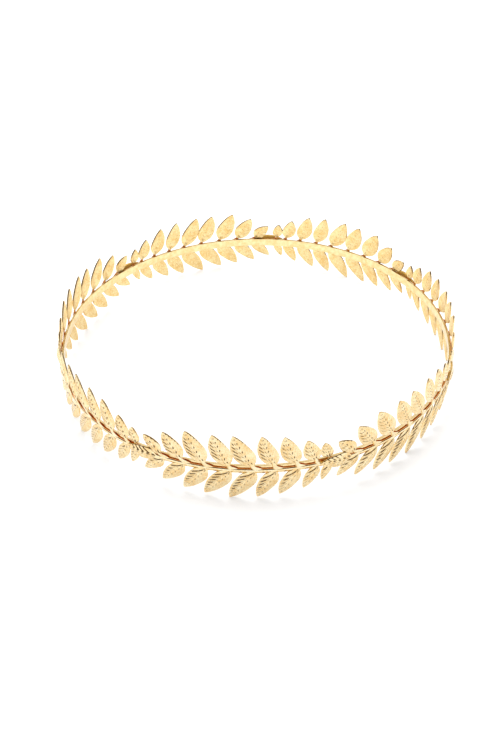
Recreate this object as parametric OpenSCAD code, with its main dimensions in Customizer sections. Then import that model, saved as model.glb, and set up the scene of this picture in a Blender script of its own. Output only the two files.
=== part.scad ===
// Laurel wreath crown: a plain flat hoop with laurel sprigs laid end to end round its outside.
// Every sprig is one stamped piece: a stem, nine pairs of leaves and a last leaf that lies
// over the foot of the next sprig. The crown stands on the tips of its lower leaves.

/* [Hoop] */
// Inside diameter of the hoop, where the head goes
hoop_d = 152.4; // [140:0.1:180]
// Thickness of the hoop's strip
hoop_t = 0.8; // [0.6:0.1:1.2]
// Height of the hoop's strip
hoop_h = 3.4; // [2.6:0.1:4.4]
// Bevel along the strip's edges
hoop_bevel = 0.15; // [0.05:0.05:0.25]

/* [Sprigs] */
// Number of sprigs round the hoop
sprigs = 7; // [6:1:7]
// Height of a sprig's stem
stem_w = 1.3; // [1.1:0.1:1.7]
// Thickness of the stem, outwards from the hoop
stem_t = 0.8; // [0.6:0.1:1.2]
// How far the stem reaches back past its first pair of leaves
stem_foot = 1.4; // [1:0.1:2]
// Gap between the hoop and the backs of the stems
seat_gap = 0.1; // [0.08:0.01:0.2]

/* [Leaves] */
// Thickness of a leaf
leaf_t = 0.6; // [0.4:0.1:0.9]
// How far a leaf's midrib stands out past its edges
leaf_crown = 0.5; // [0.2:0.1:0.8]
// Width of an upper leaf's stalk, where it leaves the stem
stalk_foot = 2.4; // [1.8:0.1:2.8]
// Width of an upper leaf's stalk, in the blade
stalk_w = 1.3; // [1:0.1:1.6]
// Thickness of an upper leaf's stalk
stalk_t = 0.5; // [0.3:0.05:0.6]
// Length of the longest upper leaf, from the middle of the stem to the tip
upper_l = 16.8; // [15:0.1:18]
// Width of the widest upper leaf
upper_w = 7; // [6:0.1:7.6]
// Length of an upper leaf's stalk, from the middle of the stem
upper_stalk = 2.4; // [1.8:0.1:3]
// Length of the longest lower leaf, from the middle of the stem to the tip
lower_l = 15.6; // [14:0.1:17]
// Width of the widest lower leaf
lower_w = 6.5; // [5.5:0.1:7]
// Where a lower leaf's blade starts, from the middle of the stem
lower_start = 0.4; // [0.3:0.1:0.5]
// How far the tip of an upper leaf of full length leans in over the hoop
upper_lean = 0.6; // [0:0.1:1]
// Length of the last leaf, which points along the stem
last_l = 11.8; // [10:0.1:13]
// Width of the last leaf
last_w = 5.2; // [4.4:0.1:6]
// How far the last leaf reaches over the next sprig's first pair
last_reach = 3.8; // [3:0.1:5]
// Gap between the last leaf and what it lies over
last_gap = 0.2; // [0.1:0.05:0.4]

/* [Hidden] */

// Radius of the middle of the stems, which the leaves are measured from
stem_r = hoop_d / 2 + hoop_t + seat_gap + stem_t / 2;
// Angle from one sprig to the next, and the length of stem in it
sprig_turn = 360 / sprigs;
sprig_l = stem_r * sprig_turn * PI / 180;
// Angle of the first sprig's foot, counted from +X towards +Y
first_angle = 288.6;

// One row for each pair of leaves, from the foot of the sprig to its end.
// place is a share of sprig_l. Lengths and widths are shares of the longest and the widest
// leaf of their row. Angles are in degrees from the stem. A bow is how far the midrib
// curves towards the sprig's end, as a share of the leaf's width.
PLACE = 0;
UP_L = 1;
UP_ANGLE = 2;
UP_W = 3;
UP_BOW = 4;
LOW_L = 5;
LOW_ANGLE = 6;
LOW_W = 7;
PAIRS = [
    [0.000, 0.54,  79, 0.61,  0.04, 0.51, 69, 0.54],
    [0.062, 0.71,  72, 0.81,  0.05, 0.70, 62, 0.72],
    [0.160, 0.89,  71, 0.90,  0.05, 0.83, 59, 0.89],
    [0.271, 0.935, 72, 0.89,  0.06, 0.88, 61, 0.92],
    [0.373, 1.00,  63, 0.98,  0.06, 1.00, 54, 1.00],
    [0.495, 0.95,  67, 0.98,  0.04, 0.97, 51, 0.98],
    [0.616, 0.97,  63, 1.00,  0.02, 0.90, 52, 0.95],
    [0.730, 0.84,  56, 0.91,  0.00, 0.84, 48, 0.85],
    [0.840, 0.67,  44, 0.71, -0.08, 0.71, 42, 0.71]
];

// One row for each section of a leaf's blade: how far along the blade it is, its reach
// from the midrib towards the sprig's end and towards its foot, as shares of half the
// leaf's width, and how much of the crown it has.
ALONG = 0;
AHEAD = 1;
BEHIND = 2;
CROWN = 3;
BLADE = [
    [0.00, 0.22, 0.22, 0.1],
    [0.13, 0.66, 0.70, 0.8],
    [0.36, 1.00, 1.00, 1.0],
    [0.71, 0.84, 0.76, 0.9],
    [1.00, 0.09, 0.09, 0.1]
];

// A stalk runs on into the blade by this share of the blade's length. There it is this much
// thinner, and it has risen by this share of the crown, to stay inside the blade.
STALK_IN = 0.10;
STALK_THIN = 0.8;
STALK_LIFT = 0.5;
// A leaf of this share of the full width or more has a stalk of full width
STALK_FULL = 0.8;

// Outline of a stem, as shares of half its height and half its thickness: flat against the
// hoop, round on the outer side
STEM_OUTLINE = [[-0.7, 0.4], [0, 1], [0.7, 0.4], [1, -1], [-1, -1]];
// Straight lengths in a stem, and the share of the last leaf's length that it runs under
STEM_STEPS = 12;
STEM_UNDER = 0.25;

// Faces that close the end of a stalk of four sides, a stem of five and a leaf of six
END_4 = [[0, 1, 2, 3]];
END_5 = [[0, 1, 2, 3, 4]];
END_6 = [[0, 1, 4, 5], [1, 2, 3, 4]];

// Share of their crown that the next sprig's first leaves have where the last leaf crosses
FIRST_CROWN = 0.6;
// Height of the last leaf over the stem's middle, where it lies over the next sprig
last_lift = max(stem_t / 2, leaf_t / 2 + FIRST_CROWN * leaf_crown) + last_gap + leaf_t / 2;
// Share of the last leaf's length over which it rises
LAST_RISE = 0.5;
last_place = sprig_l + last_reach - last_l;

// Height of the stems over the surface that the lowest leaf tips touch
stem_z = max([for (row = PAIRS) -lowest(lower_blade(row))]);

GOLD = [0.93, 0.76, 0.45];
PALE_GOLD = [0.97, 0.84, 0.58];

// Takes a point of a sprig laid flat round the hoop. It has its distance along the stem,
// its height over the stem's middle and how far out it is from there. Above the stem it
// leans in.
function wrap(p) =
    let (
        a = first_angle - p[0] / stem_r * 180 / PI,
        r = stem_r + p[2] - upper_lean * max(0, p[1] - stem_w / 2) / upper_l
    )
    [r * cos(a), r * sin(a), stem_z + p[1]];

function smooth_step(t) =
    let (s = min(1, max(0, t)))
    s * s * (3 - 2 * s);

// Directions of a leaf laid flat: along it, and across it towards the sprig's end. side is
// 1 for a leaf above the stem and -1 for one below it.
function along(side, angle) = [cos(angle), side * sin(angle)];
function across(side, angle) = [sin(angle), -side * cos(angle)];

// Six points round a leaf at c, a point of its midrib laid flat: over the outer face from
// the edge that faces the sprig's end, then back under the inner face.
function leaf_section(c, n, ahead, behind, crown, lift) =
    let (
        front = c + n * ahead,
        back = c - n * behind,
        outer = lift + leaf_t / 2,
        inner = lift - leaf_t / 2
    )
    [
        [front[0], front[1], outer],
        [c[0], c[1], outer + crown],
        [back[0], back[1], outer],
        [back[0], back[1], inner],
        [c[0], c[1], inner + crown],
        [front[0], front[1], inner]
    ];

// The sections of a blade laid flat, that starts at a point of the sprig
function blade_sections(start, side, angle, length, width, bow, lift) =
    let (d = along(side, angle), n = across(side, angle))
    [for (row = BLADE)
        leaf_section(
            start + d * row[ALONG] * length + n * bow * width * sin(180 * row[ALONG]),
            n,
            row[AHEAD] * width / 2,
            row[BEHIND] * width / 2,
            row[CROWN] * leaf_crown,
            lift * smooth_step(row[ALONG] / LAST_RISE)
        )
    ];

function upper_blade(row) =
    blade_sections(
        [row[PLACE] * sprig_l, 0] + along(1, row[UP_ANGLE]) * upper_stalk,
        1, row[UP_ANGLE], row[UP_L] * upper_l - upper_stalk,
        row[UP_W] * upper_w, row[UP_BOW], 0);

function lower_blade(row) =
    blade_sections(
        [row[PLACE] * sprig_l, 0] + along(-1, row[LOW_ANGLE]) * lower_start,
        -1, row[LOW_ANGLE], row[LOW_L] * lower_l - lower_start,
        row[LOW_W] * lower_w, 0, 0);

function last_blade() = blade_sections([last_place, 0], 1, 0, last_l, last_w, 0, last_lift);

// Lowest height in a list of sections laid flat
function lowest(sections) = min([for (s = sections) for (p = s) p[1]]);

// Four points round a stalk at c, which reaches half_w to both sides along n
function stalk_section(c, n, half_w, half_t, lift) =
    let (a = c + n * half_w, b = c - n * half_w)
    [
        [a[0], a[1], lift + half_t],
        [b[0], b[1], lift + half_t],
        [b[0], b[1], lift - half_t],
        [a[0], a[1], lift - half_t]
    ];

// Share of its full height that the stem has at t, from 0 at its foot to 1 at its end
function stem_share(t) = min(1, 0.55 + 8 * t, 0.6 + 5 * (1 - t));

function stem_section(t) =
    let (
        u = -stem_foot + (last_place + STEM_UNDER * last_l + stem_foot) * t,
        half_w = stem_w / 2 * stem_share(t)
    )
    [for (p = STEM_OUTLINE) [u, p[0] * half_w, p[1] * stem_t / 2]];

function turned(faces) = [for (f = faces) [for (i = [len(f) - 1:-1:0]) f[i]]];

// Faces round a row of sections, with the faces that close its two ends
function skin(rows, sides, end) =
    concat(
        end,
        [for (i = [1:rows - 1]) for (j = [0:sides - 1])
            let (k = (j + 1) % sides, a = (i - 1) * sides, b = i * sides)
            each [[a + j, b + k, a + k], [a + j, b + j, b + k]]],
        [for (f = turned(end)) [for (v = f) (rows - 1) * sides + v]]
    );

// A solid through sections laid flat, taken round the hoop. One below the stem is a mirror
// image, so its faces are turned.
module solid(sections, end, side) {
    faces = skin(len(sections), len(sections[0]), end);
    polyhedron(
        [for (s = sections) for (p = s) wrap(p)],
        side > 0 ? faces : turned(faces)
    );
}

// The stalk of an upper leaf, which widens towards the stem
module stalk(row) {
    root = [row[PLACE] * sprig_l, 0];
    reach = upper_stalk + STALK_IN * (row[UP_L] * upper_l - upper_stalk);
    hull()
        solid([
            stalk_section(root, [1, 0], stalk_foot / 2, stalk_t / 2, 0),
            stalk_section(
                root + along(1, row[UP_ANGLE]) * reach, across(1, row[UP_ANGLE]),
                stalk_w / 2 * min(1, row[UP_W] / STALK_FULL), STALK_THIN * stalk_t / 2,
                STALK_LIFT * leaf_crown)
        ], END_4, 1);
}

module stem() {
    solid([for (i = [0:STEM_STEPS]) stem_section(i / STEM_STEPS)], END_5, 1);
}

// The hoop: a flat strip closed into a ring
module band() {
    r = hoop_d / 2;
    b = hoop_bevel;
    color(PALE_GOLD)
        translate([0, 0, stem_z - hoop_h / 2])
            rotate_extrude($fn = 180)
                polygon([
                    [r, b], [r + b, 0], [r + hoop_t - b, 0], [r + hoop_t, b],
                    [r + hoop_t, hoop_h - b], [r + hoop_t - b, hoop_h],
                    [r + b, hoop_h], [r, hoop_h - b]
                ]);
}

// One sprig, turned to its place round the hoop
module sprig(n) {
    color(GOLD)
        rotate([0, 0, -(n - 1) * sprig_turn])
            union() {
                stem();
                for (row = PAIRS) {
                    stalk(row);
                    solid(upper_blade(row), END_6, 1);
                    solid(lower_blade(row), END_6, -1);
                }
                solid(last_blade(), END_6, 1);
            }
}

band();
for (n = [1:sprigs])
    sprig(n);
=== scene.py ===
# %% [markdown]
# # A laurel wreath crown, modelled and lit
# The crown is a plain flat hoop with seven gold-plated laurel sprigs laid end to end round
# its outside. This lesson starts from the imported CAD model, which fixes the size and the
# place of every piece, and adds what the eye needs: pressed leaves with midribs and side
# veins, a round stem, soft gold, a white table and studio light.

# %% Load the CAD model
import math
import bpy
from mathutils import Matrix, Vector


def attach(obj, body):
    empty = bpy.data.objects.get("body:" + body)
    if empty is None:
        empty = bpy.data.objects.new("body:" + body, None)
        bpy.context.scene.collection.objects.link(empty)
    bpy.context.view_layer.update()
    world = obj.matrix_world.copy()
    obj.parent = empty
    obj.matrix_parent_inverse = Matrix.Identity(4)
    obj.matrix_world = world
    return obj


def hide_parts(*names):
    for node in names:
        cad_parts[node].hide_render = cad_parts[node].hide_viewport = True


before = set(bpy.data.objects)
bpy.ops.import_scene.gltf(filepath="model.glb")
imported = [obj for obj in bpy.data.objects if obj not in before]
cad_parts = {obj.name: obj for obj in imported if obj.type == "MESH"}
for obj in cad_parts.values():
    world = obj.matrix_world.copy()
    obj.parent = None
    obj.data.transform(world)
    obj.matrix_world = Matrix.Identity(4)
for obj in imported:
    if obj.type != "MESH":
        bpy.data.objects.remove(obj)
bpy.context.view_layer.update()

mm = 0.001

# %% [markdown]
# ## Camera
# The photograph was taken from a good third of a metre away, about 36 degrees above the
# table. The place and the lens were worked out from the seven feet and tips of the sprigs.
# It is made first, so that every later step can be looked at through it.

# %% Camera
HOOP_Z = 12.793 * mm
CAMERA_AWAY = 397.4 * mm
CAMERA_UP = math.radians(35.49)
CAMERA_TURN = (52.3667, 0.8902, -0.2186)
CAMERA_NEAR = 0.01
LENS_PX = 988.1
PICTURE_PX = 500
SENSOR = 36

camera_y = -CAMERA_AWAY * math.cos(CAMERA_UP)
camera_z = HOOP_Z + CAMERA_AWAY * math.sin(CAMERA_UP)
bpy.ops.object.select_all(action="DESELECT")
bpy.ops.object.camera_add(
    location=(0, camera_y, camera_z), rotation=[math.radians(a) for a in CAMERA_TURN])
camera = bpy.context.object
camera.name = "camera"
camera.data.sensor_fit = "HORIZONTAL"
camera.data.sensor_width = SENSOR
camera.data.lens = LENS_PX / PICTURE_PX * SENSOR
camera.data.clip_start = CAMERA_NEAR
bpy.context.scene.camera = camera
print("lens in mm:", round(camera.data.lens, 2))

# %% [markdown]
# ## Helpers for materials
# Colours are written as they look on a screen and turned to the linear values that the
# shader needs by one function. A second one adds a node with its settings and links.

# %% Helpers for materials
def linear(colour):
    """An sRGB hex colour as the linear colour that a shader takes."""
    parts = [int(colour[i:i + 2], 16) / 255 for i in (1, 3, 5)]
    return [p / 12.92 if p <= 0.04045 else ((p + 0.055) / 1.055) ** 2.4 for p in parts] + [1]


def add(tree, kind, inputs=None, **settings):
    """Adds a node. An input is a value, or the socket that it is linked from."""
    node = tree.nodes.new(kind)
    for name, value in settings.items():
        setattr(node, name, value)
    for name, value in (inputs or {}).items():
        if isinstance(value, bpy.types.NodeSocket):
            tree.links.new(value, node.inputs[name])
        else:
            node.inputs[name].default_value = value
    return node


def new_material(name):
    """An empty material, its node tree and its output node."""
    material = bpy.data.materials.new(name)
    material.use_nodes = True
    tree = material.node_tree
    tree.nodes.clear()
    return material, tree, add(tree, "ShaderNodeOutputMaterial")


# %% [markdown]
# ## White table
# The crown stands on a white acrylic light table, the kind that product photographers use:
# it glows a little by itself, so the ground burns out to plain white and only a breath of
# shadow is left. The metal shows this table more than anything else, because an upright
# gold face, seen from above, mirrors it.

# %% White table
TABLE_SIZE = 12
# how strongly the table glows at two places along its depth
FRONT_Y, FRONT_GLOW = -0.12, 0.16
BACK_Y, BACK_GLOW = 0.06, 0.34


def make_table_white():
    """Matt white acrylic that glows a little, and more towards the back."""
    material, tree, output = new_material("white_acrylic_light_table")
    place = add(tree, "ShaderNodeTexCoord").outputs["Object"]
    way = add(tree, "ShaderNodeSeparateXYZ", {"Vector": place})
    glow = add(tree, "ShaderNodeMapRange", {
        "Value": way.outputs["Y"], "From Min": FRONT_Y, "From Max": BACK_Y,
        "To Min": FRONT_GLOW, "To Max": BACK_GLOW})
    shader = add(tree, "ShaderNodeBsdfPrincipled", {
        "Base Color": linear("#F0F0F0"), "Roughness": 0.9, "Specular IOR Level": 0.1,
        "Emission Color": linear("#FFFFFF"), "Emission Strength": glow.outputs[0]})
    tree.links.new(shader.outputs["BSDF"], output.inputs["Surface"])
    return material


bpy.ops.mesh.primitive_plane_add(size=TABLE_SIZE, location=(0, 0, 0))
table = bpy.context.object
table.name = "table"
table.data.materials.append(make_table_white())
print("table:", len(table.data.polygons), "face")

# %% [markdown]
# ## Light
# One large soft lamp hangs over the table. It lights the table but isn't mirrored by the
# metal. What the metal mirrors besides the table is the room: a warm dark above the table's
# edge, which draws the brown lines along veins and edges, and a pale screen high up behind.

# %% Lamp
LAMP_SIZE = 1.6
LAMP_PLACE = (-0.15, 0.25, 1.5)
LAMP_POWER = 19.0

bpy.ops.object.light_add(type="AREA", location=LAMP_PLACE)
lamp = bpy.context.object
lamp.name = "soft_lamp"
lamp.data.shape = "DISK"
lamp.data.size = LAMP_SIZE
lamp.data.energy = LAMP_POWER
lamp.rotation_euler = Vector(LAMP_PLACE).to_track_quat("Z", "Y").to_euler()
lamp.visible_glossy = False
print("lamp:", lamp.data.energy, "W")

# %% Room
ROOM_DARK = "#4E381C"
WHITE = "#FFFFFF"
# directions as heights and depths of a unit ray: where the far end of the white table gives
# way to the dark, and where the pale screen starts
TABLE_END_Z = (0.05, 0.13)
SCREEN_Z, SCREEN_Y = (0.28, 0.45), (0.15, 0.45)
FILLING, WALL = 0.62, 0.92

world = bpy.data.worlds.new("studio_room")
bpy.context.scene.world = world
world.use_nodes = True
room = world.node_tree
room.nodes.clear()
look = add(room, "ShaderNodeTexCoord")
way = add(room, "ShaderNodeSeparateXYZ", {"Vector": look.outputs["Generated"]})
low = add(room, "ShaderNodeMapRange", {
    "Value": way.outputs["Z"], "From Min": TABLE_END_Z[0], "From Max": TABLE_END_Z[1],
    "To Min": 1.0, "To Max": 0.0})
high = add(room, "ShaderNodeMapRange", {
    "Value": way.outputs["Z"], "From Min": SCREEN_Z[0], "From Max": SCREEN_Z[1]})
back = add(room, "ShaderNodeMapRange", {
    "Value": way.outputs["Y"], "From Min": SCREEN_Y[0], "From Max": SCREEN_Y[1]})
screen = add(room, "ShaderNodeMath", {
    0: high.outputs[0], 1: back.outputs[0]}, operation="MULTIPLY")
pale = add(room, "ShaderNodeMath", {
    0: low.outputs[0], 1: screen.outputs[0]}, operation="MAXIMUM")
seen = add(room, "ShaderNodeMix", {"Factor": pale.outputs[0]}, data_type="RGBA")
seen.inputs[6].default_value = linear(ROOM_DARK)
seen.inputs[7].default_value = linear(WHITE)
mirrored = add(room, "ShaderNodeBackground", {"Color": seen.outputs[2]})
# metal mirrors the dark room, matt faces get the filling light, the camera sees a white wall
path = add(room, "ShaderNodeLightPath")
wall = add(room, "ShaderNodeMapRange", {
    "Value": path.outputs["Is Camera Ray"], "To Min": FILLING, "To Max": WALL})
filling = add(room, "ShaderNodeBackground", {
    "Color": linear(WHITE), "Strength": wall.outputs[0]})
choice = add(room, "ShaderNodeMixShader", {
    0: path.outputs["Is Glossy Ray"], 1: filling.outputs[0], 2: mirrored.outputs[0]})
add(room, "ShaderNodeOutputWorld", {"Surface": choice.outputs[0]})
# the plain transform keeps the white table white
bpy.context.scene.view_settings.view_transform = "Standard"
print("room nodes:", len(room.nodes))

# %% [markdown]
# ## Gold plating
# The leaves are cast or stamped brass with bright yellow gold plating. That gives the eye a
# pale, slightly silky gold: broad soft reflections of the white table, brown where the metal
# mirrors the dark of the room, painted brown shade in the pits and at the feet of the veins,
# and a painted orange to dark red reflection where gold faces gold beside the hoop.

# %% Gold plating
CLOUD_MM = 3
CLOUD_SPREAD, GRAIN_SPREAD, ROUGH_SPREAD = (0.78, 1.22), (0.3, 0.7), (0.8, 1.2)
# where the first step of the painted shade and painted reflection ends and the second starts
SHADE_AND_REFLECTION_STEP = 0.5


def make_gold(name, pale, deep, painted_shade_and_reflection, pit, rough, grain_mm, grain_depth_mm):
    """Plated brass: clouds of two golds, painted shade and painted reflection in two steps, and
    a fine grain.
    """
    material, tree, output = new_material(name)
    place = add(tree, "ShaderNodeTexCoord").outputs["Object"]
    cloud = add(tree, "ShaderNodeTexNoise", {
        "Vector": place, "Scale": 1 / (CLOUD_MM * mm), "Detail": 4})
    grain = add(tree, "ShaderNodeTexNoise", {
        "Vector": place, "Scale": 1 / (grain_mm * mm), "Detail": 2})
    speck = add(tree, "ShaderNodeMath", {
        0: cloud.outputs["Fac"], 1: grain.outputs["Fac"]}, operation="ADD")
    shade = add(tree, "ShaderNodeMapRange", {
        "Value": speck.outputs[0], "From Min": CLOUD_SPREAD[0], "From Max": CLOUD_SPREAD[1]})
    colour = add(tree, "ShaderNodeMix", {"Factor": shade.outputs[0]}, data_type="RGBA")
    colour.inputs[6].default_value = linear(pale)
    colour.inputs[7].default_value = linear(deep)
    # the painted shade and painted reflection are read from a mesh attribute, in two steps
    low = add(tree, "ShaderNodeAttribute", attribute_name="painted_shade_and_reflection")
    half = add(tree, "ShaderNodeMapRange", {
        "Value": low.outputs["Fac"], "From Max": SHADE_AND_REFLECTION_STEP})
    painted_first_step = add(tree, "ShaderNodeMix", {"Factor": half.outputs[0]}, data_type="RGBA")
    tree.links.new(colour.outputs[2], painted_first_step.inputs[6])
    painted_first_step.inputs[7].default_value = linear(painted_shade_and_reflection)
    rest = add(tree, "ShaderNodeMapRange", {
        "Value": low.outputs["Fac"], "From Min": SHADE_AND_REFLECTION_STEP})
    deepest = add(tree, "ShaderNodeMix", {"Factor": rest.outputs[0]}, data_type="RGBA")
    tree.links.new(painted_first_step.outputs[2], deepest.inputs[6])
    deepest.inputs[7].default_value = linear(pit)
    # the metal gives way to matt paint where shade or reflection is painted
    unpainted_metal = add(tree, "ShaderNodeMath", {0: 1.0, 1: half.outputs[0]}, operation="SUBTRACT")
    roughness = add(tree, "ShaderNodeMapRange", {
        "Value": grain.outputs["Fac"],
        "From Min": GRAIN_SPREAD[0], "From Max": GRAIN_SPREAD[1],
        "To Min": rough * ROUGH_SPREAD[0], "To Max": rough * ROUGH_SPREAD[1]})
    bump = add(tree, "ShaderNodeBump", {
        "Height": grain.outputs["Fac"], "Distance": grain_depth_mm * mm, "Strength": 1.0})
    shader = add(tree, "ShaderNodeBsdfPrincipled", {
        "Base Color": deepest.outputs[2], "Metallic": unpainted_metal.outputs[0],
        "Roughness": roughness.outputs[0], "Normal": bump.outputs["Normal"]})
    tree.links.new(shader.outputs["BSDF"], output.inputs["Surface"])
    return material


# painted shade: brown for the first step, near black in the pits
PAINTED_SHADE_BROWN, PAINTED_PIT_SHADE = "#7A5A2C", "#1E1A12"
# stamped and tumbled: pale, with broad silky reflections
leaf_gold = make_gold(
    "bright_plated_brass_leaf", "#F6E4BA", "#E9C588", PAINTED_SHADE_BROWN, PAINTED_PIT_SHADE,
    rough=0.17, grain_mm=0.55, grain_depth_mm=0.05)
# plated but not polished: an even glow without a mirror image
back_gold = make_gold(
    "satin_plated_brass_back", "#F5E0AA", "#E8C37E", PAINTED_SHADE_BROWN, PAINTED_PIT_SHADE,
    rough=0.34, grain_mm=0.6, grain_depth_mm=0.05)
# polished: its flat top is painted orange to dark red, a painted reflection of gold that
# mirrors gold in the narrow trench beside the hoop
stem_gold = make_gold(
    "bright_plated_brass_stem", "#F8EAC8", "#EED39C", "#FF8C0A", "#7A0804",
    rough=0.18, grain_mm=0.8, grain_depth_mm=0.02)
# the backs at a joint, where little light gets in: painted golden orange to brown, a painted
# reflection of gold that mirrors gold in the gap
joint_gold = make_gold(
    "satin_plated_brass_joint", "#F3D9A0", "#E6B868", "#FFCF6A", "#8A4A10",
    rough=0.40, grain_mm=0.8, grain_depth_mm=0.02)
# rolled strip: the smoothest face, with the clearest mirror image of the table
band_gold = make_gold(
    "polished_plated_brass_band", "#F3DDAA", "#EACB90", PAINTED_SHADE_BROWN, PAINTED_PIT_SHADE,
    rough=0.14, grain_mm=1.5, grain_depth_mm=0.02)
print("materials:", [m.name for m in bpy.data.materials])

# %% [markdown]
# ## The sprig, laid flat
# All leaves and the stem are first made flat, with three measures: along the stem, up from
# its middle, and out from the hoop. The same numbers as in the CAD model say where each
# leaf starts, how long and wide it is, and how far it leans. Afterwards the whole sprig is
# bent round the hoop at once.

# %% Measures of the sprig
SPRIGS = 7
STEM_R = 77.5 * mm
SPRIG_L = STEM_R * 2 * math.pi / SPRIGS
FIRST_ANGLE = math.radians(288.6)
STEM_W, STEM_FOOT = 1.3 * mm, 1.4 * mm
LEAF_T, LEAF_CROWN = 0.6 * mm, 0.5 * mm
UPPER_L, UPPER_W, UPPER_STALK = 16.8 * mm, 7.0 * mm, 2.4 * mm
LOWER_L, LOWER_W, LOWER_START = 15.6 * mm, 6.5 * mm, 0.4 * mm
UPPER_LEAN = 0.6 * mm
LAST_L, LAST_W, LAST_LIFT, LAST_TURN = 11.8 * mm, 5.2 * mm, 0.80 * mm, 3
LAST_OVER = 3.8 * mm
LAST_PLACE = SPRIG_L + LAST_OVER - LAST_L
# the pressed blade of an upper leaf in shares of the CAD leaf's length and width
BLADE_L, BLADE_W = 0.985, 1.04

# place along the sprig, then length, angle, width and bow of the upper leaf, then length,
# angle and width of the lower one
PAIRS = [
    (0.000, 0.54, 79, 0.61, 0.04, 0.51, 69, 0.54),
    (0.062, 0.71, 72, 0.81, 0.05, 0.70, 62, 0.72),
    (0.160, 0.89, 71, 0.90, 0.05, 0.83, 59, 0.89),
    (0.271, 0.935, 72, 0.89, 0.06, 0.88, 61, 0.92),
    (0.373, 1.00, 63, 0.98, 0.06, 1.00, 54, 1.00),
    (0.495, 0.95, 67, 0.98, 0.04, 0.97, 51, 0.98),
    (0.616, 0.97, 63, 1.00, 0.02, 0.90, 52, 0.95),
    (0.730, 0.84, 56, 0.91, 0.00, 0.84, 48, 0.85),
    (0.840, 0.67, 44, 0.71, -0.08, 0.71, 42, 0.71),
]

# %% [markdown]
# ## One leaf
# A real leaf of this crown is a thin plate with a raised midrib, and raised side veins that
# run forward from it at about 35 degrees, one every 1.75 mm. Veins could be painted on as a
# bump, but then their edges would stay flat in the light. Here they are real relief: the
# rows of a grid are laid along the veins, so that few faces draw them sharply.

# %% Outline of a leaf
# how far along the leaf, then its reach ahead and behind in shares of half its width
OUTLINE = [(0.00, 0.20, 0.22), (0.05, 0.42, 0.50), (0.13, 0.68, 0.78), (0.23, 0.90, 0.97),
           (0.35, 1.00, 1.03), (0.48, 1.00, 0.97), (0.60, 0.93, 0.86), (0.73, 0.77, 0.70),
           (0.85, 0.53, 0.48), (0.93, 0.31, 0.28), (0.98, 0.13, 0.12), (1.00, 0.02, 0.02)]
CROWNING = [(0.00, 0.10), (0.13, 0.80), (0.36, 1.00), (0.71, 0.90), (1.00, 0.10)]


def between(table, t, column):
    """The value of a table's column at t, on a smooth line through its rows."""
    t = min(max(t, table[0][0]), table[-1][0])
    i = max(k for k in range(len(table) - 1) if table[k][0] <= t)
    def slope(k):
        a, b = table[max(k - 1, 0)], table[min(k + 1, len(table) - 1)]
        return (b[column] - a[column]) / (b[0] - a[0])
    a, b = table[i], table[i + 1]
    d = b[0] - a[0]
    s = (t - a[0]) / d
    return (a[column] * (1 + 2 * s) * (1 - s) ** 2 + slope(i) * d * s * (1 - s) ** 2
            + b[column] * s * s * (3 - 2 * s) + slope(i + 1) * d * s * s * (s - 1))


def ease(t):
    t = min(max(t, 0), 1)
    return t * t * (3 - 2 * t)


def hill(t):
    """1 at 0, falling smoothly to 0 at 1 and beyond."""
    return (1 + math.cos(math.pi * min(abs(t), 1))) / 2


# %% Veins of a leaf
VEIN_PITCH = 1.75 * mm
VEIN_FORWARD = 1 / math.tan(math.radians(35))
FIRST_VEIN, TIP_FREE = 1.4 * mm, 1.0 * mm
# rows of one vein, in shares of the pitch from its crest, and rows of the foot and the tip
VEIN_ROWS = (-0.26, -0.13, 0, 0.13, 0.26, 0.5)
FOOT_ROWS, TIP_ROWS = 7, 4
FOOT_CURVE = 0.85
HALVINGS = 40
# places of the columns: from the midrib, and then in shares of what is left to the edge
NEAR_RIB = (0, 0.16 * mm, 0.34 * mm, 0.54 * mm, 0.80 * mm)
TO_EDGE = (0.22, 0.45, 0.66, 0.83, 0.95, 1.0)


def leaf_rows(length):
    """Where each row of the grid leaves the midrib, and how far it is from a vein."""
    veins = max(3, round((length - FIRST_VEIN) / VEIN_PITCH) - 1)
    pitch = (length - FIRST_VEIN - TIP_FREE) / (veins - 0.2)
    start = FIRST_VEIN + VEIN_ROWS[0] * pitch
    rows = [(start * i / FOOT_ROWS, 0.5) for i in range(FOOT_ROWS)]
    rows += [(FIRST_VEIN + (k + o) * pitch, o) for k in range(veins) for o in VEIN_ROWS]
    last = rows[-1][0]
    rows += [(last + (length - last) * i / TIP_ROWS, 1.0) for i in range(1, TIP_ROWS + 1)]
    return rows, start


def row_end(m, length, half_w, column, start):
    """How far along the leaf a row meets the outline, if it leaves the midrib at m."""
    if m < start:
        return row_end(start, length, half_w, column, start) * (m / start) ** FOOT_CURVE
    low, high = m, length
    for _ in range(HALVINGS):
        x = (low + high) / 2
        if x - m < VEIN_FORWARD * half_w * between(OUTLINE, x / length, column):
            low = x
        else:
            high = x
    return low


# %% Relief of a leaf
VEIN_H, RIB_H, PIT_H = 0.19 * mm, 0.16 * mm, 0.20 * mm
RIB_W, RIB_HEAVY = 0.40 * mm, 1.2
# half the breadth of a vein and of a pit along the leaf, in shares of the pitch
VEIN_HALF, PIT_HALF = 0.27, 0.22
# from where on a vein rises and where it has its full height, ahead of the midrib and behind
VEIN_RISE = [(0.50 * mm, 0.95 * mm), (0.30 * mm, 0.55 * mm)]
VEIN_STOP, VEIN_SINK = 0.86, 0.08
# how far from the midrib a pit lies, how far it reaches, and its depth ahead and behind
PIT_AT, PIT_REACH, PIT_SHARE = 0.44 * mm, 0.34 * mm, [0.55, 1.0]
# the row at the foot of a vein that gets a brown stroke of painted shade, and how brown it is
# on both kinds of leaf, and how much of the pits' painted shade a lower leaf keeps
LINE_ROW, UPPER_LINE, LOWER_LINE = 0.26, 0.12, 0.28
LOWER_PIT = 0.4


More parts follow.
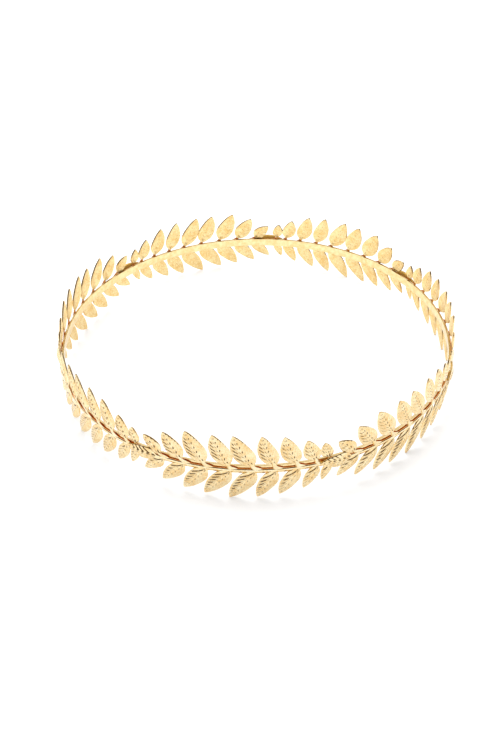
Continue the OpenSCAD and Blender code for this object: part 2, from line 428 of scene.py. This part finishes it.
def relief(y, reach, phase, t, behind, fit, root, up):
    """Height over the plain leaf at y from the midrib, and how much painted shade the spot
    gets.
    """
    rib_w = RIB_W * (1.1 - 0.5 * t) * (1 + root)
    rib = RIB_H * (1 - 0.5 * t) * (1 + RIB_HEAVY * root) * hill(y / rib_w)
    near, full = VEIN_RISE[behind]
    grown = ease((y - near * fit) / ((full - near) * fit))
    grown *= 1 - ease((y / reach - VEIN_STOP) / VEIN_SINK)
    pit = hill((y - PIT_AT * fit) / (PIT_REACH * fit)) * hill((abs(phase) - 0.5) / PIT_HALF)
    pit *= PIT_SHARE[behind]
    height = fit * (rib + VEIN_H * hill(phase / VEIN_HALF) * grown - PIT_H * pit)
    # the pits are painted dark as shade, less so on a lower leaf
    brown = pit if up > 0 else LOWER_PIT * pit
    # a brown stroke of painted shade on the foot of each vein on its upward side, ahead of the
    # midrib
    if phase * up == LINE_ROW and not behind:
        brown = max(brown, (UPPER_LINE if up > 0 else LOWER_LINE) * grown)
    return height, brown


# %% One leaf from a grid
LEAF_WALL = 0.9 * LEAF_T
CROWN_CURVE = 1.3
# half a leaf's breadth from which on its relief has its full size
FULL_REACH = 1.9 * mm
TIP_HALF = 0.05 * mm
ROOT_FADE = 1.6 * mm
# how far the outermost columns are rolled back, counted from the edge
EDGE_DROP = {0: 0.11 * mm, 1: 0.02 * mm}
# the last of these is the share of the face's painted shade that the back gets
BACK_RIM, BACK_RELIEF, BACK_BROWN = 0.27 * mm, 0.5, 0.3
# the first vein of a lower leaf starts beside the midrib, with a dark stroke of painted shade
# behind it
ROOT_VEIN = FOOT_ROWS + 2
ROOT_VEIN_AT, ROOT_VEIN_H = 0.60 * mm, 0.12 * mm
LOWER_ROOT = 0.35


def make_leaf(name, length, width, root=0.0, up=1, back=None):
    """A leaf laid flat: it grows along +X from the origin, +Y is ahead, +Z is out."""
    rows, start = leaf_rows(length)
    columns = len(NEAR_RIB) + len(TO_EDGE) - 1
    bpy.ops.object.select_all(action="DESELECT")
    bpy.ops.mesh.primitive_grid_add(
        x_subdivisions=len(rows) - 1, y_subdivisions=2 * columns, size=1, location=(0, 0, 0))
    leaf = bpy.context.object
    leaf.name = name
    mesh = leaf.data
    heights, browns, rims = [], [], []
    ends = [[row_end(m, length, width / 2, c, start) for c in (1, 2)] for m, _ in rows]
    for v in mesh.vertices:
        i = round((v.co.x + 0.5) * (len(rows) - 1))
        j = round((v.co.y + 0.5) * 2 * columns) - columns
        side = 1 if j >= 0 else 2
        m, phase = rows[i]
        end = ends[i][side - 1]
        reach = width / 2 * between(OUTLINE, end / length, side)
        if i == len(rows) - 1:
            end, reach = length, TIP_HALF
        fit = min(1, reach / FULL_REACH)
        k = abs(j)
        if k < len(NEAR_RIB):
            y = NEAR_RIB[k] * fit
        else:
            inner = NEAR_RIB[-1] * fit
            y = inner + (reach - inner) * TO_EDGE[k - len(NEAR_RIB)]
        x = m + (end - m) * y / reach
        t = x / length
        here = max(width / 2 * between(OUTLINE, t, side), y, 0.01 * mm)
        height, brown = relief(
            y, reach, phase, t, side == 2, fit * ease(i / 5 + 0.1),
            root * math.exp(-x / ROOT_FADE), up)
        if up < 0 and side == 1 and abs(i - ROOT_VEIN) <= 2:
            near = hill((y - ROOT_VEIN_AT) / ROOT_VEIN_AT)
            height += ROOT_VEIN_H * near * hill((i - ROOT_VEIN) / 3)
            # the dark stroke behind the root vein is painted shade
            if i < ROOT_VEIN:
                brown = max(brown, near)
        heights.append(height - EDGE_DROP.get(columns - k, 0) * min(1, fit * 2))
        rims.append(1.0 if k == columns else 0.0)
        browns.append(brown)
        crown = (LEAF_CROWN - RIB_H) * between(CROWNING, t, 1)
        v.co = (x, y if j >= 0 else -y, LEAF_T / 2 + crown * (1 - (y / here) ** CROWN_CURVE))
    wall = leaf.modifiers.new("wall", "SOLIDIFY")
    wall.thickness = LEAF_WALL
    wall.offset = -1
    bpy.ops.object.modifier_apply(modifier=wall.name)
    face = len(heights)
    for v in mesh.vertices:
        k = v.index - face
        v.co.z += heights[v.index] if k < 0 else BACK_RELIEF * heights[k] + BACK_RIM * rims[k]
    # the back gets a fainter copy of the face's painted shade; the back of the last leaf is
    # painted in full with the joint's golden orange, a painted reflection of gold in gold
    painted_shade_and_reflection = mesh.attributes.new("painted_shade_and_reflection", "FLOAT", "POINT")
    painted_shade_and_reflection.data.foreach_set(
        "value", browns + [SHADE_AND_REFLECTION_STEP if back else BACK_BROWN * b for b in browns])
    mesh.materials.append(leaf_gold)
    mesh.materials.append(back or back_gold)
    for polygon in mesh.polygons:
        polygon.material_index = int(all(k >= face for k in polygon.vertices))
    return leaf


# %% Place a leaf on the flat sprig
def place_leaf(leaf, start, side, angle, length, bow, lift):
    """Moves a leaf's vertices to their place on the sprig: along, up and out."""
    c, s = math.cos(math.radians(angle)), math.sin(math.radians(angle))
    for v in leaf.data.vertices:
        x, y, z = v.co
        t = x / length
        y += bow * math.sin(math.pi * min(max(t, 0), 1))
        v.co = (start[0] + c * x + s * y, start[1] + side * (s * x - c * y),
                z + lift * ease(t / 0.5))
    if side < 0:
        leaf.data.flip_normals()


parts = []
for n, (place, ul, ua, uw, ub, ll, la, lw) in enumerate(PAIRS, 1):
    up, low = math.radians(ua), math.radians(la)
    length = BLADE_L * ul * UPPER_L - UPPER_STALK
    foot = (place * SPRIG_L + UPPER_STALK * math.cos(up), UPPER_STALK * math.sin(up))
    leaf = make_leaf(f"upper_{n}", length, BLADE_W * uw * UPPER_W)
    place_leaf(leaf, foot, 1, ua, length, ub * uw * UPPER_W, 0)
    parts.append(leaf)
    length = ll * LOWER_L - LOWER_START
    foot = (place * SPRIG_L + LOWER_START * math.cos(low), -LOWER_START * math.sin(low))
    leaf = make_leaf(f"lower_{n}", length, lw * LOWER_W, root=LOWER_ROOT, up=-1)
    place_leaf(leaf, foot, -1, la, length, 0, 0)
    parts.append(leaf)
leaf = make_leaf("last", LAST_L, BLADE_W * LAST_W, back=joint_gold)
place_leaf(leaf, (LAST_PLACE, 0), 1, LAST_TURN, LAST_L, 0, LAST_LIFT)
parts.append(leaf)
print("leaves on a sprig:", len(parts), "triangles in the fifth:",
      sum(len(p.vertices) - 2 for p in parts[8].data.polygons))

# %% [markdown]
# ## Stem and stalks
# The stem is a slim half-round wire with a flat back, and each upper leaf stands on a short
# wedge of a stalk. Both are drawn out from a disc, one extrusion after another, and each
# ring is then given its width and its place, as a smith would draw down a rod.

# %% Rod helper
def make_rod(name, rings, sides, finish):
    """A closed rod. rings is a list with the points of each ring."""
    bpy.ops.object.select_all(action="DESELECT")
    bpy.ops.mesh.primitive_circle_add(vertices=sides, radius=mm, fill_type="NGON")
    rod = bpy.context.object
    rod.name = name
    bpy.ops.object.mode_set(mode="EDIT")
    bpy.ops.mesh.select_all(action="SELECT")
    for _ in range(len(rings) - 1):
        bpy.ops.mesh.extrude_region_move(TRANSFORM_OT_translate={"value": (0, 0, mm)})
    bpy.ops.object.mode_set(mode="OBJECT")
    for v in rod.data.vertices:
        turn = round(math.atan2(v.co.y, v.co.x) / (2 * math.pi) * sides) % sides
        v.co = rings[round(v.co.z / mm)][turn]
    bpy.ops.object.mode_set(mode="EDIT")
    bpy.ops.mesh.select_all(action="SELECT")
    bpy.ops.mesh.normals_make_consistent(inside=False)
    bpy.ops.object.mode_set(mode="OBJECT")
    rod.data.materials.append(finish)
    return rod


# %% Stem
STEM_END = SPRIG_L - STEM_FOOT - 0.25 * mm
# heights and outward reaches of the stem's section in mm: a flat top, a face that swells a
# little, and a flat back
STEM_SECTION = [(0.58, -0.38), (0.58, -0.24), (0.55, 0.04), (0.48, 0.17), (0.34, 0.26),
                (0.10, 0.33), (-0.16, 0.35), (-0.40, 0.30), (-0.56, 0.16), (-0.62, -0.06),
                (-0.60, -0.38), (0.0, -0.38)]
FLAT_TOP = STEM_SECTION[0][0] * mm
STEM_RINGS = 128
# over how much of the stem it grows from its foot and thins to its end, and from what share
FOOT_TAPER, FOOT_SHARE = 5 * mm, 0.45
END_TAPER, END_SHARE = 3 * mm, 0.7
# how far the stem swells outwards in mm to meet the last leaf, and over what length
SWELL, SWELL_L = 0.42, 4 * mm
PLACES = [row[0] * SPRIG_L for row in PAIRS]


def stem_ring(u):
    """One ring of the stem: thin at its foot, and drawn outwards under the last leaf."""
    start, end = (u + STEM_FOOT) / FOOT_TAPER, (STEM_END - u) / END_TAPER
    share = min(1, FOOT_SHARE + start, END_SHARE + end)
    under = ease((u - LAST_PLACE) / SWELL_L) * SWELL
    return [(u, h * mm * share, (o + (under if o > 0 else 0)) * mm) for h, o in STEM_SECTION]


def painted_trench_reflection(u):
    """How red the painted reflection on the flat top is: painted dark red shade just past a
    stalk, orange further on, gold at the ends.
    """
    past = max([u - place for place in PLACES if place <= u], default=0)
    ahead = min([place - u for place in PLACES if place > u], default=4 * mm)
    share = ahead / max(past + ahead, mm)
    ends = ease((u - 0.5 * mm) / (2 * mm)) * ease((STEM_END - 5 * mm - u) / (2 * mm))
    dark = 0.50 * ease((share - 0.62) / 0.16) + 0.20 * ease((0.2 - share) / 0.2)
    return (SHADE_AND_REFLECTION_STEP + dark) * ends


us = [-STEM_FOOT + (STEM_END + STEM_FOOT) * i / STEM_RINGS for i in range(STEM_RINGS + 1)]
stem = make_rod("stem", [stem_ring(u) for u in us], len(STEM_SECTION), stem_gold)
painted_shade_and_reflection = stem.data.attributes.new("painted_shade_and_reflection", "FLOAT", "POINT")
# the painted reflection and shade go on the flat top only, on its side next to the hoop
painted_shade_and_reflection.data.foreach_set("value", [
    painted_trench_reflection(v.co.x) if v.co.y > 0.95 * FLAT_TOP and v.co.z < 0 else 0.0
    for v in stem.data.vertices])
parts.append(stem)
print("stem rings:", len(us))

# %% Stalks
def half_round(j, sides):
    """A point of a section that is round outside and flat behind, in shares."""
    a = 2 * math.pi * j / sides
    return math.cos(a), (math.sin(a) if math.sin(a) > 0 else max(-1, 2.6 * math.sin(a)))


STALK_SIDES, STALK_RINGS, STALK_CROWD = 12, 13, 1.4
STALK_FOOT, STALK_W, STALK_T = 1.7 * mm, 1.3 * mm, 0.5 * mm
# how far the stalk runs on under its leaf, in shares of the blade, and how far it rises
STALK_UNDER, STALK_LIFT = 0.16, 0.42 * mm
# the fillet behind a stalk's foot: its length and height
STALK_WEB, STALK_WEB_H = 1.9 * mm, 1.7 * mm
# how red the points of a ring are painted, up to a height, as painted shade and painted
# reflection: the side that looks back along the stem, a streak of painted shadow on the face
# beside it, and the flat back
STALK_SHADE, SHADE_H = {4: 0.75, 6: 0.55, 7: 0.55, 8: 0.5, 9: 0.5}, 2.2 * mm


def stalk_ring(i, place, a, reach, top_w, slim):
    """The points of a stalk's ring: it leaves the stem at the angle a and turns to its leaf."""
    t = (i / (STALK_RINGS - 1)) ** STALK_CROWD
    u = place * SPRIG_L + reach * t * math.cos(a)
    h = reach * t * math.sin(a)
    w = STALK_FOOT + (top_w - STALK_FOOT) * min(1, 1.5 * t)
    w *= 1 - 0.75 * ease((t - 0.6) / 0.4)
    tilt = (math.pi / 2 - a) * ease(t * 2)
    lift = STALK_LIFT * ease(t * 1.3)
    web = STALK_WEB * (1 - ease((h - 0.4 * mm) / STALK_WEB_H)) ** 1.6 * slim
    return [(u + math.cos(tilt) * c * w / 2 - web * max(-c, 0) ** 2,
             h - math.sin(tilt) * c * w / 2,
             lift + o * STALK_T / 2 * (1 - 0.3 * t))
            for c, o in (half_round(j, STALK_SIDES) for j in range(STALK_SIDES))]


for n, (place, ul, ua, uw, *_) in enumerate(PAIRS, 1):
    slim = min(1, uw / 0.8)
    reach = UPPER_STALK + STALK_UNDER * (ul * UPPER_L - UPPER_STALK)
    rings = [stalk_ring(i, place, math.radians(ua), reach, STALK_W * slim, slim)
             for i in range(STALK_RINGS)]
    stalk = make_rod(f"stalk_{n}", rings, STALK_SIDES, stem_gold)
    # the stalk's painted shade and painted reflection; its back faces take the joint's satin
    # gold
    stalk_painted_shade = stalk.data.attributes.new("painted_shade_and_reflection", "FLOAT", "POINT")
    stalk_painted_shade.data.foreach_set("value", [
        STALK_SHADE.get(v.index % STALK_SIDES, 0) if v.co.y < SHADE_H else 0.0
        for v in stalk.data.vertices])
    stalk.data.materials.append(joint_gold)
    for polygon in stalk.data.polygons:
        behind = all(k % STALK_SIDES > STALK_SIDES / 2 for k in polygon.vertices)
        polygon.material_index = int(behind)
    parts.append(stalk)
print("parts of a sprig:", len(parts))

# %% [markdown]
# ## Bend the sprig and set it round the hoop
# The flat parts are joined to one piece and every vertex is carried round the hoop: its
# place along the stem becomes an angle. The piece is made once. The other six are copies
# with their own meshes, each turned by a seventh of a circle.

# %% Bend the sprig
SMOOTH_SPRIG = math.radians(50)

bpy.ops.object.select_all(action="DESELECT")
for part in parts:
    part.select_set(True)
bpy.context.view_layer.objects.active = parts[0]
bpy.ops.object.join()
sprig = bpy.context.object
sprig.name = "laurel_sprig_1"
for v in sprig.data.vertices:
    u, h, out = v.co
    angle = FIRST_ANGLE - u / STEM_R
    r = STEM_R + out - UPPER_LEAN * max(0, h - STEM_W / 2) / UPPER_L
    v.co = (r * math.cos(angle), r * math.sin(angle), HOOP_Z + h)
bpy.ops.object.shade_smooth_by_angle(angle=SMOOTH_SPRIG)
print("sprig triangles:", sum(len(p.vertices) - 2 for p in sprig.data.polygons))

# %% Seven sprigs
for n in range(1, SPRIGS + 1):
    piece = sprig
    if n > 1:
        piece = sprig.copy()
        piece.data = sprig.data.copy()
        bpy.context.collection.objects.link(piece)
        piece.name = f"laurel_sprig_{n}"
        piece.data.transform(Matrix.Rotation(-(n - 1) * 2 * math.pi / SPRIGS, 4, "Z"))
    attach(piece, "root")
    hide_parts(f"sprig_{n}")
print("sprigs:", SPRIGS)

# %% [markdown]
# ## Hoop
# The hoop is a plain strip of plated brass closed to a ring. Its section is drawn once, as
# a small rectangle with rounded edges, and spun round the axis in fine steps, so that its
# mirror image of the table stays smooth.

# %% Hoop
HOOP_IN, HOOP_T, HOOP_H, HOOP_EDGE = 76.2 * mm, 0.8 * mm, 3.4 * mm, 0.08 * mm
HOOP_STEPS, SAME_POINT = 360, 0.001 * mm
SMOOTH_HOOP = math.radians(40)

bpy.ops.object.select_all(action="DESELECT")
bpy.ops.mesh.primitive_plane_add(
    size=1, location=(HOOP_IN + HOOP_T / 2, 0, HOOP_Z), rotation=(math.pi / 2, 0, 0))
hoop = bpy.context.object
hoop.name = "hoop_band"
hoop.scale = (HOOP_T, HOOP_H, 1)
bpy.ops.object.transform_apply(location=True, rotation=True, scale=True)
bpy.ops.object.mode_set(mode="EDIT")
bpy.ops.mesh.select_all(action="SELECT")
bpy.ops.mesh.bevel(offset=HOOP_EDGE, segments=3, affect="VERTICES")
bpy.ops.mesh.select_all(action="SELECT")
bpy.ops.mesh.delete(type="ONLY_FACE")
bpy.ops.mesh.select_all(action="SELECT")
bpy.ops.mesh.spin(steps=HOOP_STEPS, angle=2 * math.pi, center=(0, 0, 0), axis=(0, 0, 1))
bpy.ops.mesh.select_all(action="SELECT")
bpy.ops.mesh.remove_doubles(threshold=SAME_POINT)
bpy.ops.mesh.normals_make_consistent(inside=False)
bpy.ops.object.mode_set(mode="OBJECT")
bpy.ops.object.shade_smooth_by_angle(angle=SMOOTH_HOOP)
hoop.data.materials.append(band_gold)
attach(hoop, "root")
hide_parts("band")
print("hoop faces:", len(hoop.data.polygons))
